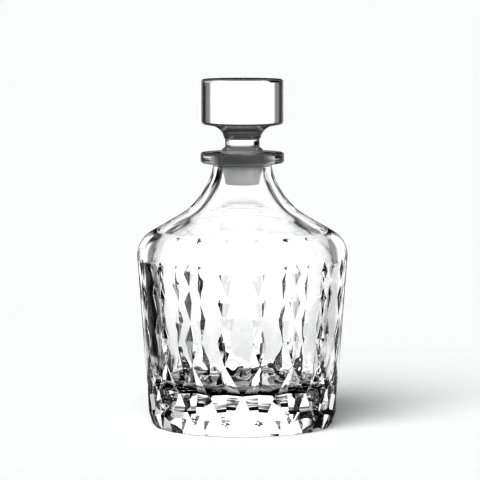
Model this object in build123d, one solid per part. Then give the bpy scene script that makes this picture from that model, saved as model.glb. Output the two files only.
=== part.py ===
"""A cut crystal decanter: a heavy vessel, a solid glass stopper and the polymer sleeve that seals it.

Everything is turned about the Z axis, which rises from the middle of the foot. The front of the
vessel, a plain panel between two columns of cuts, faces -Y. Sizes are in millimetres.
"""

import math
import os

from build123d import *

# The pattern: columns of four-sided cuts round the wall, with plain panels between them.
COLUMNS = 18
PITCH = 360 / COLUMNS

# Vessel, outside. The wall is a cone that widens upwards.
FOOT_RADIUS = 55.1
WALL_FLARE = 0.073  # growth of the wall's radius for each millimetre of height
SHOULDER_HEIGHT = 110.1  # where the lines of the wall and of the shoulder meet
NECK_CORNER = (20.5, 134.8)
LIP_UNDERSIDE = 155.2
LIP_TOP = 162.4
LIP_RADIUS = 24.7
SHOULDER_ROUND = 14.8
NECK_SWEEP = 40.0

# Vessel, inside
MOUTH_RADIUS = 12.66
THROAT_RADIUS = 12.16
THROAT_BOTTOM = 153.4
INNER_NECK_CORNER = (16.6, 128.5)
INNER_SHOULDER_CORNER = (54.4, 106.6)
INNER_FLOOR_RADIUS = 46.9
FLOOR_HEIGHT = 22.0
FLOOR_ROUND = 10.0

# Foot
HEEL_APOTHEM = 52.5  # from the axis to the flats of the heel, at the resting face
HEEL_LEAN = 18.9  # lean of the heel's flats from the vertical, in degrees
RECESS_RADIUS = 43.0
RECESS_DEPTH = 2.6

# One row of cuts each: top, deepest level, bottom, half width and depth
CUT_ROWS = [
    (101.0, 95.3, 88.0, 3.4, 1.7),
    (85.5, 78.9, 67.5, 3.8, 1.9),
    (65.5, 55.6, 41.5, 4.3, 2.2),
    (41.5, 24.5, 5.4, 9.4, 5.0),
]
CUT_CLEARANCE = 0.8  # how far the cutting wheel's shape stands outside the wall

# Stopper
STOPPER_TOP = 205.7
HEAD_RADIUS = 24.2
HEAD_SIDE_BOTTOM = 179.2
COLLAR_RADIUS = 10.75  # the small step where the head meets the waist
WAIST_RADIUS = 10.15
FLANGE_RADIUS = 12.2
FLANGE_UNDERSIDE = 163.3
PEG_BOTTOM = 144.0

# Sealing sleeve, round the stopper's peg
SLEEVE_TOP = 163.2
SLEEVE_KNEE = 153.0
SLEEVE_BOTTOM = 142.0
SLEEVE_TOP_RADIUS = 12.3
SLEEVE_KNEE_RADIUS = 11.9
SLEEVE_BOTTOM_RADIUS = 10.0
SLEEVE_WALL = 1.6
RIB_HEIGHTS = (160.4, 157.9, 155.4)
RIB_HALF_WIDTH = 0.5
RIB_GAP = 0.05  # between a rib's crest and the mouth
PEG_GAP = 0.08  # between the peg and the sleeve
BEAD_HEIGHT = 158.6
BEAD_RADIUS = 0.45


def wall_radius(z):
    """The uncut wall's radius at height z."""
    return FOOT_RADIUS + WALL_FLARE * z


def between(z, low, high):
    """The radius at height z on a straight line between two (radius, height) points."""
    return low[0] + (high[0] - low[0]) * (z - low[1]) / (high[1] - low[1])


def at(point):
    """A (radius, height) point, placed in the XZ plane."""
    return (point[0], 0, point[1])


def turned(*edges):
    """The solid that a closed half section makes when it is turned about Z."""
    return revolve(make_face(Wire(edges)), axis=Axis.Z)


def chain(corners):
    """A line through (radius, height, corner radius) corners, rounded at all but its two ends."""
    points = [at(corner) for corner in corners]
    return FilletPolyline(*points, radius=[corner[2] for corner in corners[1:-1]])


def vessel_blank():
    """The vessel before it is cut."""
    section = chain(
        [
            (wall_radius(0), 0, 0),
            (wall_radius(SHOULDER_HEIGHT), SHOULDER_HEIGHT, SHOULDER_ROUND),
            (*NECK_CORNER, NECK_SWEEP),
            (17.2, LIP_UNDERSIDE, 0.8),
            (LIP_RADIUS, LIP_UNDERSIDE + 1.1, 1.9),
            (LIP_RADIUS, LIP_TOP, 1.6),
            (MOUTH_RADIUS, LIP_TOP, 0.7),
            (THROAT_RADIUS, THROAT_BOTTOM, 2.0),
            (*INNER_NECK_CORNER, 42.0),
            (*INNER_SHOULDER_CORNER, 15.0),
            (INNER_FLOOR_RADIUS, FLOOR_HEIGHT + 0.8, FLOOR_ROUND),
            (0, FLOOR_HEIGHT, 0),
        ]
    )
    axis = Line(at((0, FLOOR_HEIGHT)), at((0, RECESS_DEPTH)))
    recess_side = RECESS_RADIUS * math.sqrt(0.5)
    recess = ThreePointArc(
        at((0, RECESS_DEPTH)), at((recess_side, RECESS_DEPTH / 2)), at((RECESS_RADIUS, 0))
    )
    ring = Line(at((RECESS_RADIUS, 0)), at((wall_radius(0), 0)))
    return turned(*section.edges(), axis, recess, ring)


def heel():
    """A pyramid's frustum with one flat for each panel, which trims the foot's edge."""
    outline = RegularPolygon(HEEL_APOTHEM, COLUMNS, major_radius=False)
    return extrude(outline, amount=LIP_TOP + 1, taper=-HEEL_LEAN)


def cut(top, middle, bottom, half_width, depth):
    """What one cut takes away at angle 0: a pyramid on its side, with its point inside the wall."""
    deepest = Vector(wall_radius(middle) - depth, 0, middle)
    side = math.sqrt(wall_radius(middle) ** 2 - half_width**2)
    outside = wall_radius(top) + CUT_CLEARANCE
    corners = []
    for x, y, z in (
        (wall_radius(top), 0, top),
        (side, half_width, middle),
        (wall_radius(bottom), 0, bottom),
        (side, -half_width, middle),
    ):
        away = Vector(x, y, z) - deepest
        corners.append(deepest + away * ((outside - deepest.X) / away.X))
    return pyramid(deepest, corners)


def pyramid(point, corners):
    """A solid with flat sides from the corners of a flat base to a point."""
    sides = [[a, b, point] for a, b in zip(corners, corners[1:] + corners[:1])]
    faces = [make_face(Polyline(*loop, close=True)).face() for loop in [corners, *sides]]
    return Solid(Shell(faces))


def round_the_axis(tool):
    """One copy of a tool for each column."""
    return [Rot(0, 0, PITCH * k) * tool for k in range(COLUMNS)]


def vessel():
    """The vessel, with its heel and its four rows of cuts."""
    made = vessel_blank() & heel()
    for row in CUT_ROWS:
        made = made - round_the_axis(cut(*row))
    return made


def sleeve_outside():
    """The sleeve's (radius, height) points outside, from the top down."""
    return [
        (SLEEVE_TOP_RADIUS, SLEEVE_TOP),
        (SLEEVE_KNEE_RADIUS, SLEEVE_KNEE),
        (SLEEVE_BOTTOM_RADIUS, SLEEVE_BOTTOM),
    ]


def peg_radius(z):
    """The peg's radius at height z, which is the sleeve's inner radius less the gap."""
    top, knee, bottom = sleeve_outside()
    outside = between(z, knee, top) if z > SLEEVE_KNEE else between(z, bottom, knee)
    return outside - SLEEVE_WALL - PEG_GAP


def stopper():
    """Head, waist, flange and peg in one piece of glass."""
    head = chain(
        [
            (0, STOPPER_TOP, 0),
            (HEAD_RADIUS, STOPPER_TOP, 1.5),
            (HEAD_RADIUS, HEAD_SIDE_BOTTOM, 2.2),
            (12.6, 177.3, 8.0),
            (COLLAR_RADIUS, 170.8, 0.35),
            (WAIST_RADIUS, 170.3, 0.25),
            (WAIST_RADIUS, 165.6, 1.6),
            (FLANGE_RADIUS, 163.9, 0.25),
            (FLANGE_RADIUS, FLANGE_UNDERSIDE, 0.2),
            (peg_radius(SLEEVE_TOP), FLANGE_UNDERSIDE, 0.2),
            (peg_radius(SLEEVE_KNEE), SLEEVE_KNEE, 3.0),
            (peg_radius(PEG_BOTTOM), PEG_BOTTOM, 0.8),
            (0, PEG_BOTTOM, 0),
        ]
    )
    axis = Line(at((0, PEG_BOTTOM)), at((0, STOPPER_TOP)))
    groove = Pos(0, 0, BEAD_HEIGHT) * Torus(peg_radius(BEAD_HEIGHT) + PEG_GAP, BEAD_RADIUS + PEG_GAP)
    return turned(*head.edges(), axis) - groove


def sleeve():
    """A closed cup with ribs that seal in the mouth and a bead that holds it on the peg."""
    top, knee, bottom = sleeve_outside()
    outside = chain(
        [(0, SLEEVE_BOTTOM, 0), (*bottom, 0.5), (*knee, 6.0), (*top, 0.3)]
        + [(peg_radius(SLEEVE_TOP) + PEG_GAP, SLEEVE_TOP, 0)]
    )
    inside = chain(
        [
            (peg_radius(SLEEVE_TOP) + PEG_GAP, SLEEVE_TOP, 0),
            (peg_radius(SLEEVE_KNEE) + PEG_GAP, SLEEVE_KNEE, 3.0),
            (peg_radius(PEG_BOTTOM - PEG_GAP) + PEG_GAP, PEG_BOTTOM - PEG_GAP, 0.8),
            (0, PEG_BOTTOM - PEG_GAP, 0),
        ]
    )
    axis = Line(at((0, PEG_BOTTOM - PEG_GAP)), at((0, SLEEVE_BOTTOM)))
    made = turned(*outside.edges(), *inside.edges(), axis)
    for height in RIB_HEIGHTS:
        made = made + rib(height)
    bead = Pos(0, 0, BEAD_HEIGHT) * Torus(peg_radius(BEAD_HEIGHT) + PEG_GAP, BEAD_RADIUS)
    return made + bead


def rib(height):
    """A low ring with a sloped section, from inside the sleeve's wall out to just short of the mouth."""
    mouth = between(height, (THROAT_RADIUS, THROAT_BOTTOM), (MOUTH_RADIUS, LIP_TOP))
    root = SLEEVE_KNEE_RADIUS - SLEEVE_WALL / 2
    section = Polyline(
        at((root, height - RIB_HALF_WIDTH)),
        at((mouth - RIB_GAP, height - RIB_HALF_WIDTH / 4)),
        at((mouth - RIB_GAP, height + RIB_HALF_WIDTH / 4)),
        at((root, height + RIB_HALF_WIDTH)),
        close=True,
    )
    return revolve(make_face(section), axis=Axis.Z)


def main():
    os.makedirs("parts", exist_ok=True)
    for name, make in (("vessel", vessel), ("stopper", stopper), ("seal_sleeve", sleeve)):
        made = make()
        print(name, "valid", made.is_valid, "solids", len(made.solids()), "cm3", made.volume / 1000)
        export_step(made, f"parts/{name}.step")


main()
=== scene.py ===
import math

import bmesh
import bpy
from mathutils import Matrix, Vector, noise


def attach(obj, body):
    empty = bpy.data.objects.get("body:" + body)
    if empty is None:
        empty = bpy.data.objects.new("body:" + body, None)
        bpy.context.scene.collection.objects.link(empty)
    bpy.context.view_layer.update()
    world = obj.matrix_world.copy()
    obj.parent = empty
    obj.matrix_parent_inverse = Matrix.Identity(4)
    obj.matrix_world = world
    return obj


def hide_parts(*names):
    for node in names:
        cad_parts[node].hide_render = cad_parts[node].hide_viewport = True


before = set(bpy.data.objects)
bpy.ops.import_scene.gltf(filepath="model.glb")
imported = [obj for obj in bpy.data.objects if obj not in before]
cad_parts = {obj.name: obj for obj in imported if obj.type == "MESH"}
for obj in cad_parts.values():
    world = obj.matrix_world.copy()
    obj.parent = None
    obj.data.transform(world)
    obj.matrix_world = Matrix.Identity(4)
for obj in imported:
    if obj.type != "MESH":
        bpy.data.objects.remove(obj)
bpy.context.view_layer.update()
mm = 0.001
cutTolerance = 1e-7  # m
mergeDistance = 1e-6  # m
print("frame loaded")


def newPiece(name, bm, material, body, node, sharpAngle):
    # writes a bmesh to an object at the origin that stands for one CAD node
    mesh = bpy.data.meshes.new(name)
    bm.to_mesh(mesh)
    bm.free()
    piece = bpy.data.objects.new(name, mesh)
    bpy.context.scene.collection.objects.link(piece)
    mesh.shade_smooth()
    mesh.set_sharp_from_angle(angle=math.radians(sharpAngle))
    mesh.materials.append(material)
    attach(piece, body)
    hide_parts(node)


lathe = {
    "wideRadius": 5,  # mm, above which a corner's arc gets the finer steps
    "wideStep": 0.06,  # radians of turn in one step of an arc
    "tightStep": 0.14,
    "fewestSteps": 3,
    "longestRun": 1.8,  # mm, where runs are divided
}


def ramp(value, start, end):
    # 0 at start, 1 at end, and held past both
    return max(0, min(1, (value - start) / (end - start)))


def roundCorner(bm, vert, radius):
    # rounds one corner of a wire outline with an arc of that radius, in mm
    ahead, behind = [edge.other_vert(vert).co - vert.co for edge in vert.link_edges]
    step = lathe["wideStep"] if radius > lathe["wideRadius"] else lathe["tightStep"]
    segments = max(lathe["fewestSteps"], round((math.pi - ahead.angle(behind)) / step))
    bmesh.ops.bevel(
        bm, geom=[vert], offset=radius * mm / math.tan(ahead.angle(behind) / 2), offset_type="OFFSET",
        segments=segments, profile=0.5, affect="VERTICES", material=-1,
    )


def divideRuns(bm, finePart):
    # divides the runs that finePart(radius, height) picks at both ends, so that they can be shaped later
    for edge in bm.edges[:]:
        cuts = int(edge.calc_length() / mm / lathe["longestRun"])
        if cuts and all(finePart(v.co.xy.length / mm, v.co.z / mm) for v in edge.verts):
            bmesh.ops.subdivide_edges(bm, edges=[edge], cuts=cuts)


def latheOutline(corners, steps, parts=1, finePart=None):
    # turns (radius, height, corner radius) corners, in mm, about Z: all the way, or one of the equal parts
    bm = bmesh.new()
    start = Matrix.Rotation(0 if parts == 1 else -math.pi / parts, 3, "Z")
    verts = [bm.verts.new(start @ Vector((r, 0, z)) * mm) for r, z, _ in corners]
    for pair in zip(verts, verts[1:]):
        bm.edges.new(pair)
    for vert, (_, _, radius) in list(zip(verts, corners))[1:-1]:
        if radius:
            roundCorner(bm, vert, radius)
    if finePart:
        divideRuns(bm, finePart)
    bmesh.ops.spin(
        bm, geom=bm.verts[:] + bm.edges[:], cent=(0, 0, 0), axis=(0, 0, 1),
        angle=2 * math.pi / parts, steps=steps // parts, use_merge=parts == 1,
    )
    closeSeams(bm)
    return bm


def closeSeams(bm):
    bmesh.ops.remove_doubles(bm, verts=bm.verts[:], dist=mergeDistance)
    bmesh.ops.recalc_face_normals(bm, faces=bm.faces[:])


class Sock:
    # a socket that takes part in Python arithmetic
    def __init__(self, shader, socket):
        self.shader = shader
        self.socket = socket

    def op(self, kind, other, swap=False):
        a, b = (other, self) if swap else (self, other)
        return self.shader.node("ShaderNodeMath", {"operation": kind}, {0: a, 1: b})

    def __add__(self, other):
        return self.op("ADD", other)

    def __radd__(self, other):
        return self.op("ADD", other, True)

    def __sub__(self, other):
        return self.op("SUBTRACT", other)

    def __rsub__(self, other):
        return self.op("SUBTRACT", other, True)

    def __mul__(self, other):
        return self.op("MULTIPLY", other)

    def __rmul__(self, other):
        return self.op("MULTIPLY", other, True)

    def __truediv__(self, other):
        return self.op("DIVIDE", other)

    def __lt__(self, other):
        return self.op("LESS_THAN", other)

    def __gt__(self, other):
        return self.op("GREATER_THAN", other)


class Shader:
    # one node tree, filled by node() calls
    def __init__(self, tree):
        self.tree = tree
        tree.nodes.clear()

    def node(self, kind, settings=None, values=None, out=0):
        # out is an output's name or number, or a tuple of them
        made = self.tree.nodes.new(kind)
        for key, value in (settings or {}).items():
            if key == "stops":
                self.setStops(made.color_ramp, value)
            else:
                setattr(made, key, value)
        for key, value in (values or {}).items():
            if isinstance(value, Sock):
                self.tree.links.new(value.socket, made.inputs[key])
            else:
                made.inputs[key].default_value = value
        if isinstance(out, tuple):
            return [Sock(self, made.outputs[key]) for key in out]
        return Sock(self, made.outputs[out]) if made.outputs else made

    def setStops(self, colorRamp, stops):
        while len(colorRamp.elements) > 1:
            colorRamp.elements.remove(colorRamp.elements[-1])
        colorRamp.elements[0].position = stops[0][0]
        colorRamp.elements[0].color = grey(stops[0][1])
        for position, value in stops[1:]:
            colorRamp.elements.new(position).color = grey(value)

    def noise(self, place, scale, detail):
        values = {"Vector": place, "Scale": scale, "Detail": detail}
        return self.node("ShaderNodeTexNoise", {}, values)

    def lookup(self, value, stops):
        return self.node("ShaderNodeValToRGB", {"stops": stops}, {0: value})

    def blend(self, kind, factor, first, second):
        settings = {"data_type": "RGBA", "blend_type": kind}
        return self.node("ShaderNodeMix", settings, {0: factor, 6: first, 7: second}, out=2)

    def axial(self, place):
        # x and y, distance from Z, and height
        x, y, z = self.node("ShaderNodeSeparateXYZ", {}, {0: place}, out=("X", "Y", "Z"))
        return x, y, self.node("ShaderNodeMath", {"operation": "SQRT"}, {0: x * x + y * y}), z


def grey(value):
    return (value, value, value, 1) if isinstance(value, (int, float)) else (*value, 1)


def newMaterial(name):
    material = bpy.data.materials.new(name)
    material.use_nodes = True
    return material, Shader(material.node_tree)


crystal = {
    "ior": 1.54,
    "tint": (0.996, 0.998, 0.997),
    "tintDeep": (0.990, 0.994, 0.992),
    "polish": 0.0,  # roughness of the polished faces
    "haze": 0.012,  # roughness of the faint polishing marks
    "markScale": 420.0,
    "markLevel": 0.6,  # the higher, the fewer marks
    "rippleScale": 55,
    "rippleDepth": 0.0006,
    "ground": 0.45,  # roughness of a ground band
}


def makeCrystal(name, ripple, band=None):
    # clear polished crystal, with a band inside that is left ground if one is given
    material, sh = newMaterial(name)
    place = sh.node("ShaderNodeTexCoord", out="Object")
    wave = sh.noise(place, crystal["rippleScale"], detail=1.0)
    marks = sh.noise(place, crystal["markScale"], detail=3.0)
    rough = crystal["polish"] + (marks > crystal["markLevel"]) * crystal["haze"]
    if band:
        _, _, distance, z = sh.axial(place)
        isGround = (distance < band["radius"] * mm) * (z > band["bottom"] * mm) * (z < band["top"] * mm)
        rough = rough + isGround * crystal["ground"]
    tint = sh.blend("MIX", wave, grey(crystal["tint"]), grey(crystal["tintDeep"]))
    bump = sh.node("ShaderNodeBump", {}, {
        "Strength": ripple, "Distance": crystal["rippleDepth"], "Height": wave,
    })
    glass = sh.node("ShaderNodeBsdfPrincipled", {}, {
        "Base Color": tint, "Roughness": rough, "Normal": bump,
        "IOR": crystal["ior"], "Transmission Weight": 1.0,
    })
    sh.node("ShaderNodeOutputMaterial", {}, {"Surface": glass})
    return material


vessel = {
    "steps": 360,  # faces round the axis
    "columns": 18,
    # (radius, height, corner radius), from the middle of the recess up the outside and down the inside
    "outline": [
        (0, 2.6, 0), (20, 2.1, 60), (43, 0, 0.3), (55.1, 0, 0), (58.13, 41.5, 0), (59.95, 66.5, 0),
        (61.43, 86.75, 0), (63.14, 110.1, 14.8),
        (20.5, 134.8, 40), (17.2, 155.2, 0.8), (24.7, 156.3, 1.9), (24.7, 162.4, 1.6),
        (12.66, 162.4, 0.7), (12.16, 153.4, 2.0), (16.6, 128.5, 42), (54.4, 106.6, 15),
        (46.9, 22.8, 10), (0, 22, 0),
    ],
    "footRadius": 55.1,
    "flare": 0.073,  # growth of the wall's radius for each mm of height
    "heelApothem": 52.5,
    "heelLean": 18.9,
    # one row of cuts each: top, deepest level, bottom, half width, depth
    "cuts": [
        (101.0, 95.3, 88.0, 3.4, 1.7),
        (85.5, 78.9, 67.5, 3.8, 1.9),
        (65.5, 55.6, 41.5, 4.3, 2.2),
        (41.5, 24.5, 5.4, 9.4, 5.0),
    ],
    "cutMargin": 0.7,  # how far above a cut its rim may reach
    "innerSlope": 1.72,  # loss of the shoulder's inner radius for each mm of height
    # waves left by fire polishing: their sizes and shares, and their depths in mm
    "waves": [(13, 1.0), (5.5, 0.4), (3.2, 0.28)],
    "waveFloor": 0.45,
    "waveWall": 0.10,
    "waveRecess": 0.7,
    "floorTo": 34,  # height to which the floor's depth holds
    "wallFrom": 52,  # height from which the wall's depth holds
    "fadeFrom": 114,
    "fadeTo": 124,
    "floorSlack": 0.1,  # how far off the inside's lines a point may lie and still be moved
    "wallSlack": 1,
    "recessCeiling": 3,
    "recessEdge": 42.9,
    "recessFade": (0.1, 1.0),  # heights over which the recess's waves set in
    "ripple": 0.01,
    "groundBand": {"radius": 13.2, "bottom": 153.5, "top": 161.8},
    "sharpAngle": 13,
}


def wallRadius(z):
    return vessel["footRadius"] + vessel["flare"] * z


def trimHeel(bm, angle):
    # takes one flat off the foot's edge and closes it
    lean = math.radians(vessel["heelLean"])
    turn = Matrix.Rotation(angle, 3, "Z")
    found = bmesh.ops.bisect_plane(
        bm, geom=bm.verts[:] + bm.edges[:] + bm.faces[:], dist=cutTolerance, clear_outer=True,
        plane_co=turn @ Vector((vessel["heelApothem"] * mm, 0, 0)),
        plane_no=turn @ Vector((math.cos(lean), 0, -math.sin(lean))),
    )["geom_cut"]
    rim = [g for g in found if isinstance(g, bmesh.types.BMEdge)]
    verts = [g for g in found if isinstance(g, bmesh.types.BMVert)]
    ends = [v for v in verts if sum(e in rim for e in v.link_edges) == 1]
    bmesh.ops.edgenet_fill(bm, edges=rim + [bm.edges.new(ends)])


def grindCut(bm, row):
    # grinds one four-sided hollow into the wall on the +X side, with its point inside
    top, middle, bottom, halfWidth, depth = row
    side = math.sqrt(wallRadius(middle) ** 2 - halfWidth**2)
    point = Vector((wallRadius(middle) - depth, 0, middle)) * mm
    corners = [
        (wallRadius(top), 0, top), (side, halfWidth, middle),
        (wallRadius(bottom), 0, bottom), (side, -halfWidth, middle),
    ]
    spokes = [Vector(corner) * mm - point for corner in corners]
    normals = [spokes[i - 1].cross(spokes[i]).normalized() for i in range(4)]
    ceiling = top + vessel["cutMargin"]
    wall = [f for f in bm.faces if f.normal.x > 0.5]  # what faces +X more than not
    region = [f for f in wall if bottom < f.calc_center_median().z / mm < ceiling]
    for normal in normals:
        parts = list({p for f in region for p in (f, *f.edges, *f.verts)})
        found = bmesh.ops.bisect_plane(bm, geom=parts, dist=cutTolerance, plane_co=point, plane_no=normal)
        region = [g for g in found["geom"] if isinstance(g, bmesh.types.BMFace)]
    ground = [f for f in region if all((f.calc_center_median() - point).dot(n) < 0 for n in normals)]
    rim = [e for f in ground for e in f.edges if any(g not in ground for g in e.link_faces)]
    bmesh.ops.delete(bm, geom=ground, context="FACES")
    centre = bm.verts.new(point)
    ends = {v for e in rim for v in e.verts}
    for spoke in spokes:
        corner = min(ends, key=lambda v: (v.co - point).cross(spoke).length)
        rim.append(bm.edges.new((centre, corner)))
    bmesh.ops.edgenet_fill(bm, edges=rim)


def innerRadius(z):
    # the inside wall's radius, and the shoulder's above it
    (topRadius, topHeight, _), (bottomRadius, bottomHeight, _) = vessel["outline"][-3:-1]
    if z < topHeight:
        return bottomRadius + (topRadius - bottomRadius) * (z - bottomHeight) / (topHeight - bottomHeight)
    return topRadius - vessel["innerSlope"] * (z - topHeight)


def isInside(radius, z):
    # true on the vessel's inner floor, wall and shoulder
    lowest = vessel["outline"][-1][1] - vessel["floorSlack"]
    return lowest < z < vessel["fadeTo"] and radius < innerRadius(z) + vessel["wallSlack"]


def isRecess(radius, z):
    # true under the foot, inside the resting ring
    return z < vessel["recessCeiling"] and radius < vessel["recessEdge"]


def isWaved(radius, z):
    return isInside(radius, z) or isRecess(radius, z)


def waveDepth(radius, z):
    # how deep the waves are there, in mm
    if isRecess(radius, z):
        return vessel["waveRecess"] * ramp(z, *vessel["recessFade"])
    if not isInside(radius, z):
        return 0
    nearFloor = ramp(z, vessel["wallFrom"], vessel["floorTo"])
    depth = vessel["waveWall"] + (vessel["waveFloor"] - vessel["waveWall"]) * nearFloor
    return depth * ramp(z, vessel["fadeTo"], vessel["fadeFrom"])


def waveInside(bm):
    # moves the inside of the vessel and the recess under it in and out along their own normals
    for vert in bm.verts:
        depth = waveDepth(vert.co.xy.length / mm, vert.co.z / mm)
        if depth:
            swell = sum(share * noise.noise(vert.co / (size * mm)) for size, share in vessel["waves"])
            vert.co += vert.normal * depth * swell * mm


def makeVessel():
    # one column's share is turned and cut, then copied round the axis
    columns = vessel["columns"]
    bm = latheOutline(vessel["outline"], vessel["steps"], columns, isWaved)
    for side in (-1, 1):
        trimHeel(bm, side * math.pi / columns)
    for row in vessel["cuts"]:
        grindCut(bm, row)
    bmesh.ops.spin(
        bm, geom=bm.verts[:] + bm.edges[:] + bm.faces[:], cent=(0, 0, 0), axis=(0, 0, 1),
        angle=2 * math.pi * (1 - 1 / columns), steps=columns - 1, use_duplicate=True,
    )
    closeSeams(bm)
    waveInside(bm)
    print("vessel cut", len(bm.verts), "open edges", sum(not e.is_manifold for e in bm.edges))
    look = makeCrystal("vesselCrystal", vessel["ripple"], vessel["groundBand"])
    newPiece("decanterVessel", bm, look, "bottle", "vessel", vessel["sharpAngle"])


makeVessel()


stopper = {
    "steps": 240,
    # from the middle of the head's top down to the peg's foot
    "outline": [
        (0, 205.7, 0), (24.2, 205.7, 1.5), (24.2, 179.2, 2.2), (12.6, 177.3, 8), (10.75, 170.8, 0.35),
        (10.15, 170.3, 0.25), (10.15, 165.6, 1.6), (12.2, 163.9, 0.25), (12.2, 163.3, 0.2),
        (10.62, 163.3, 0.2), (10.46, 159.1, 0.1), (9.92, 158.6, 0.4), (10.42, 158.1, 0.1), (10.22, 153.0, 3),
        (8.66, 144.0, 0.8), (0, 144.0, 0),
    ],
    "ripple": 0.005,
    "sharpAngle": 25,
}


def makeStopper():
    bm = latheOutline(stopper["outline"], stopper["steps"])
    look = makeCrystal("stopperCrystal", stopper["ripple"])
    newPiece("decanterStopper", bm, look, "stopper", "stopper", stopper["sharpAngle"])
    print("stopper made")


makeStopper()


sleeve = {
    "steps": 180,
    # from the middle of the foot up the outside and down the inside, with the bead that snaps on the peg
    "outline": [
        (0, 142, 0), (10.0, 142, 0.5), (11.9, 153, 4), (12.3, 163.2, 0.3), (10.7, 163.2, 0),
        (10.54, 159.1, 0.1), (10.08, 158.6, 0.4), (10.50, 158.1, 0.1), (10.3, 153, 3),
        (8.74, 143.92, 0.8), (0, 143.92, 0),
    ],
    # the sealing ribs: each crest's height and radius
    "ribs": [(155.4, 12.22), (157.9, 12.36), (160.4, 12.50)],
    "ribHalfWidth": 0.4,
    "crestHalfWidth": 0.125,
    "crestRound": 0.08,
    "tone": (0.90, 0.90, 0.90),
    "toneDark": (0.78, 0.78, 0.78),
    "cloudScale": 260.0,
    "grainScale": 1900.0,
    "grainStrength": 0.15,
    "grainDepth": 0.0001,
    "roughness": 0.36,
    "cloudRoughness": 0.12,
    "ior": 1.3,
    "clearness": 0.6,
    # painted glow: emission in place of light scattered inside it, from the foot of the sleeve up
    "glow": [(0.0, 0.6), (0.12, 1.0), (0.40, 0.85), (0.52, 0.4), (0.62, 0.1), (1.0, 0.1)],
    "paintedGlowHeight": 21,  # mm
    "paintedGlowStray": 0.3,  # how unevenly its edges run
    "paintedGlowStrength": 0.2,
    "sharpAngle": 30,
}


def makeSleeveLook():
    material, sh = newMaterial("sleevePolymer")
    place = sh.node("ShaderNodeTexCoord", out="Object")
    cloud = sh.noise(place, sleeve["cloudScale"], detail=3.0)
    grain = sh.noise(place, sleeve["grainScale"], detail=2.0)
    tone = sh.blend("MIX", cloud, grey(sleeve["tone"]), grey(sleeve["toneDark"]))
    z = sh.node("ShaderNodeSeparateXYZ", {}, {0: place}, out="Z")
    # painted glow: the sleeve's emission below stands in for light scattered inside it, brightest low down
    # near its foot
    rise = (z - sleeve["outline"][0][1] * mm) / (sleeve["paintedGlowHeight"] * mm)
    glowTone = sh.lookup(rise + (cloud - 0.5) * sleeve["paintedGlowStray"], sleeve["glow"])
    bump = sh.node("ShaderNodeBump", {}, {
        "Strength": sleeve["grainStrength"], "Distance": sleeve["grainDepth"], "Height": grain,
    })
    skin = sh.node("ShaderNodeBsdfPrincipled", {}, {
        "Base Color": tone, "Roughness": sleeve["roughness"] + cloud * sleeve["cloudRoughness"],
        "Normal": bump, "IOR": sleeve["ior"], "Transmission Weight": sleeve["clearness"],
        "Emission Color": glowTone, "Emission Strength": sleeve["paintedGlowStrength"],
    })
    sh.node("ShaderNodeOutputMaterial", {}, {"Surface": skin})
    return material


def ribbedOutline():
    # the sleeve's outline with its ribs, which stand on the line from the knee to the top
    corners = list(sleeve["outline"])
    (kneeRadius, kneeHeight, _), (topRadius, topHeight, _) = corners[2:4]
    flare = (topRadius - kneeRadius) / (topHeight - kneeHeight)
    foot, crestHalf, crestRound = sleeve["ribHalfWidth"], sleeve["crestHalfWidth"], sleeve["crestRound"]
    ribs = []
    for height, crest in sleeve["ribs"]:
        ribs += [
            (kneeRadius + flare * (height - foot - kneeHeight), height - foot, 0),
            (crest, height - crestHalf, crestRound),
            (crest, height + crestHalf, crestRound),
            (kneeRadius + flare * (height + foot - kneeHeight), height + foot, 0),
        ]
    return corners[:3] + ribs + corners[3:]


def makeSleeve():
    bm = latheOutline(ribbedOutline(), sleeve["steps"])
    look = makeSleeveLook()
    newPiece("sealingSleeve", bm, look, "seal", "seal_sleeve", sleeve["sharpAngle"])
    print("sleeve made")


makeSleeve()


paper = {
    "width": 90.0,  # m
    "tone": 0.6,
    "roughness": 0.9,
    "glowTone": (0.985, 0.995, 1.0),
    "glow": 0.374,  # the more, the paler its shadows
}

# the cards that only the glass sees. Tones round the axis stand at degrees from straight behind,
# left negative, and fades at shares of the cards' radius or height
cards = {
    "radius": 0.55,  # m
    "height": 0.55,
    "tableLift": 0.0002,
    "mirrored": [
        (-180, 0.02), (-38, 0.02), (-31, 0.3), (-28, 0.8), (-24, 0.8), (-20, 0.02), (20, 0.02), (24, 0.8),
        (30, 0.8), (38, 0.3), (60, 0.1), (180, 0.03),
    ],
}

table = {
    "white": 1.4,
    "nearTones": [
        (-180, 0.12), (-150, 0.1), (-120, 0.3), (-100, 0.6), (-60, 0.6), (-24, 1.0), (24, 1.0), (60, 0.8),
        (135, 0.8), (160, 0.2), (180, 0.12),
    ],
    "farTones": [
        (-180, 0.02), (-150, 0.01), (-106, 0.02), (-102, 0.4), (-82, 0.4), (-76, 0.02), (-33, 0.02),
        (-29, 0.85), (-24, 1.0), (24, 1.0), (33, 0.95), (38, 0.75), (60, 0.75), (66, 0.1), (90, 0.1),
        (96, 0.8), (145, 0.8), (152, 0.1), (180, 0.03),
    ],
    "isFar": [(0.25, 0.0), (0.45, 1.0)],
    # painted shade: the fade is darker under and near the foot, and its dark ring from 0.075 to 0.096 lies
    # under the foot's rim in place of its shadow
    "fade": [
        (0.0, 0.4), (0.050, 0.3), (0.075, 0.015), (0.096, 0.015), (0.100, 0.8), (0.112, 0.8), (0.140, 0.16),
        (0.158, 0.14), (0.200, 0.9), (0.28, 0.95), (0.41, 0.92), (0.46, 0.74), (0.62, 0.76), (0.88, 0.86),
        (0.96, 1.0),
    ],
    "stray": 0.35,  # how far the fade's rings wander, past the foot
    "strayScale": 60.0,
    "strayFrom": [(0.09, 0.0), (0.12, 1.0)],
}

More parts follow.
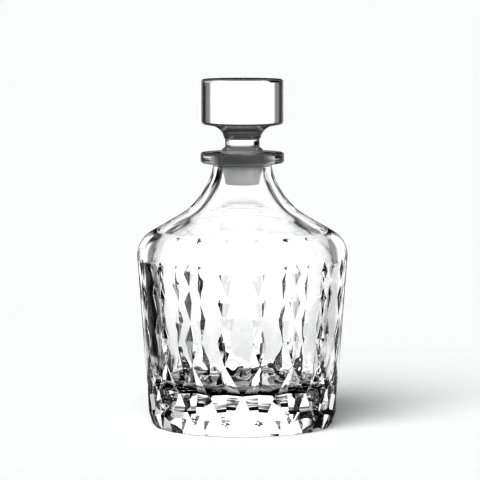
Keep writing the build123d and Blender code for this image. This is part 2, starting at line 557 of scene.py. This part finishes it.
ring = {
    "white": 1.3,
    "lowTones": [
        (-180, 0.02), (-145, 0.004), (-106, 0.01), (-102, 0.8), (-80, 0.8), (-76, 0.01), (-34, 0.01),
        (-30, 0.85), (-24, 1.0), (24, 1.0), (33, 0.95), (38, 0.7), (60, 0.7), (64, 0.02), (84, 0.02),
        (88, 0.6), (110, 0.7), (114, 0.02), (122, 0.02), (126, 0.8), (144, 0.8), (148, 0.08), (165, 0.02),
    ],
    "highTones": [
        (-180, 0.02), (-145, 0.02), (-106, 0.02), (-102, 0.8), (-80, 0.8), (-74, 0.05), (-58, 0.05),
        (-50, 0.35), (-42, 0.35), (-38, 0.9), (-24, 1.0), (24, 1.0), (38, 0.9), (42, 0.35), (50, 0.35),
        (58, 0.05), (84, 0.05), (88, 0.6), (110, 0.7), (114, 0.02), (122, 0.02), (126, 0.9), (144, 0.9),
        (148, 0.08), (165, 0.02),
    ],
    "isHigh": [(0.265, 0.0), (0.285, 1.0)],
    "fade": [(0.0, 1.0), (0.53, 1.0), (0.60, 0.4), (0.70, 0.12), (1.0, 0.02)],
}


def stagePiece(name, bm):
    mesh = bpy.data.meshes.new(name)
    bm.to_mesh(mesh)
    bm.free()
    obj = bpy.data.objects.new(name, mesh)
    bpy.context.scene.collection.objects.link(obj)
    material, sh = newMaterial(name)
    mesh.materials.append(material)
    return obj, sh


def makeFloor():
    bm = bmesh.new()
    bmesh.ops.create_grid(bm, x_segments=1, y_segments=1, size=paper["width"] / 2)
    floor, sh = stagePiece("floor", bm)
    sheet = sh.node("ShaderNodeBsdfPrincipled", {}, {
        "Base Color": grey(paper["tone"]), "Roughness": paper["roughness"], "Specular IOR Level": 0.0,
        "Emission Color": grey(paper["glowTone"]), "Emission Strength": paper["glow"],
    })
    sh.node("ShaderNodeOutputMaterial", {}, {"Surface": sheet})
    floor.visible_transmission = False
    floor.visible_glossy = False


def polar(sh, place):
    # angle round Z from 0 to 1, with 0.5 straight behind the object, and shares of the radius and height
    x, y, distance, z = sh.axial(place)
    turn = sh.node("ShaderNodeMath", {"operation": "ARCTAN2"}, {0: x, 1: y}) / (2 * math.pi) + 0.5
    return turn, distance / cards["radius"], z / cards["height"]


def tonesRound(sh, turn, tones):
    return sh.lookup(turn, [(0.5 + angle / 360, value) for angle, value in tones])


def lightCard(obj, sh, turn, through, fade, white):
    # what the glass passes on differs from what its outside mirrors, which only edges its outline
    isMirrored = sh.node("ShaderNodeLightPath", out="Is Reflection Ray")
    seen = sh.blend("MIX", isMirrored, through, tonesRound(sh, turn, cards["mirrored"]))
    tone = sh.blend("MULTIPLY", 1.0, seen, fade)
    light = sh.node("ShaderNodeEmission", {}, {"Color": tone, "Strength": white})
    sh.node("ShaderNodeOutputMaterial", {}, {"Surface": light})
    obj.visible_camera = False
    obj.visible_diffuse = False
    obj.visible_shadow = False


def makeTable():
    # what the glass sees in place of the floor
    bm = bmesh.new()
    lift = Matrix.Translation((0, 0, cards["tableLift"]))
    bmesh.ops.create_circle(bm, cap_ends=True, segments=96, radius=cards["radius"], matrix=lift)
    obj, sh = stagePiece("glassTable", bm)
    place = sh.node("ShaderNodeTexCoord", out="Object")
    turn, away, _ = polar(sh, place)
    near, far = [tonesRound(sh, turn, table[tones]) for tones in ("nearTones", "farTones")]
    around = sh.blend("MIX", sh.lookup(away, table["isFar"]), near, far)
    wander = sh.noise(place, table["strayScale"], detail=2.0) - 0.5
    stray = wander * sh.lookup(away, table["strayFrom"])
    # the fade paints shade on the table under and near the foot
    fade = sh.lookup(away + stray * table["stray"], table["fade"])
    lightCard(obj, sh, turn, around, fade, table["white"])


def makeRing():
    # what the glass sees round about
    bm = bmesh.new()
    bmesh.ops.create_cone(
        bm, cap_ends=False, segments=180, radius1=cards["radius"], radius2=cards["radius"],
        depth=cards["height"], matrix=Matrix.Translation((0, 0, cards["height"] / 2)),
    )
    obj, sh = stagePiece("studioRing", bm)
    turn, _, up = polar(sh, sh.node("ShaderNodeTexCoord", out="Object"))
    low, high = [tonesRound(sh, turn, ring[tones]) for tones in ("lowTones", "highTones")]
    around = sh.blend("MIX", sh.lookup(up, ring["isHigh"]), low, high)
    lightCard(obj, sh, turn, around, sh.lookup(up, ring["fade"]), ring["white"])


makeFloor()
makeTable()
makeRing()
print("floor and cards set")


sky = {
    "behind": (0.974, 0.977, 0.979),  # past the floor's edge
    "overhead": 0.17,  # what the glass sees above the ring
    "onFloor": 0.006,  # what the sky adds to the floor
}


def makeSky():
    world = bpy.data.worlds.new("studioSky")
    bpy.context.scene.world = world
    world.use_nodes = True
    sh = Shader(world.node_tree)
    isCamera, isDiffuse = sh.node("ShaderNodeLightPath", out=("Is Camera Ray", "Is Diffuse Ray"))
    around = sh.blend("MIX", isDiffuse, grey(sky["overhead"]), grey(sky["onFloor"]))
    tone = sh.blend("MIX", isCamera, around, grey(sky["behind"]))
    light = sh.node("ShaderNodeBackground", {}, {"Color": tone, "Strength": 1.0})
    sh.node("ShaderNodeOutputWorld", {}, {"Surface": light})


softKey = {
    "direction": (0.42, 0.90, -1.06),
    "angle": 44,  # degrees, the wider the softer
    "strength": 4.36,
}


def makeSun():
    # lights the floor and casts the shadow, but isn't seen in the glass
    lamp = bpy.data.lights.new("softKey", "SUN")
    lamp.angle = math.radians(softKey["angle"])
    lamp.energy = softKey["strength"]
    sun = bpy.data.objects.new("softKey", lamp)
    bpy.context.scene.collection.objects.link(sun)
    sun.rotation_euler = Vector(softKey["direction"]).to_track_quat("-Z", "Y").to_euler()
    sun.visible_glossy = False
    sun.visible_transmission = False


makeSky()
makeSun()
print("light set")


view = {
    "distance": 1.70,  # m, in front of the axis
    "height": 0.265,
    "left": 0.0014,
    "tilt": 5.206,  # degrees below level
    "lens": 215.3,  # mm, as is the sensor
    "sensor": 36,
    "nearest": 0.01,  # m
    "farthest": 200,
    "bounces": 32,
    "glossyBounces": 16,
    "diffuseBounces": 3,
    "gamma": 0.65,
}


def makeCamera():
    camera = bpy.data.cameras.new("camera")
    camera.lens = view["lens"]
    camera.sensor_width = view["sensor"]
    camera.clip_start = view["nearest"]
    camera.clip_end = view["farthest"]
    obj = bpy.data.objects.new("camera", camera)
    bpy.context.scene.collection.objects.link(obj)
    obj.location = (-view["left"], -view["distance"], view["height"])
    obj.rotation_euler = (math.radians(90 - view["tilt"]), 0, 0)
    bpy.context.scene.camera = obj


def setGlassPaths():
    # light has to pass many faces of the crystal
    cycles = bpy.context.scene.cycles
    cycles.max_bounces = view["bounces"]
    cycles.transmission_bounces = view["bounces"]
    cycles.glossy_bounces = view["glossyBounces"]
    cycles.diffuse_bounces = view["diffuseBounces"]
    bpy.context.scene.view_settings.view_transform = "Standard"
    bpy.context.scene.view_settings.gamma = view["gamma"]


makeCamera()
setGlassPaths()
print("camera set")
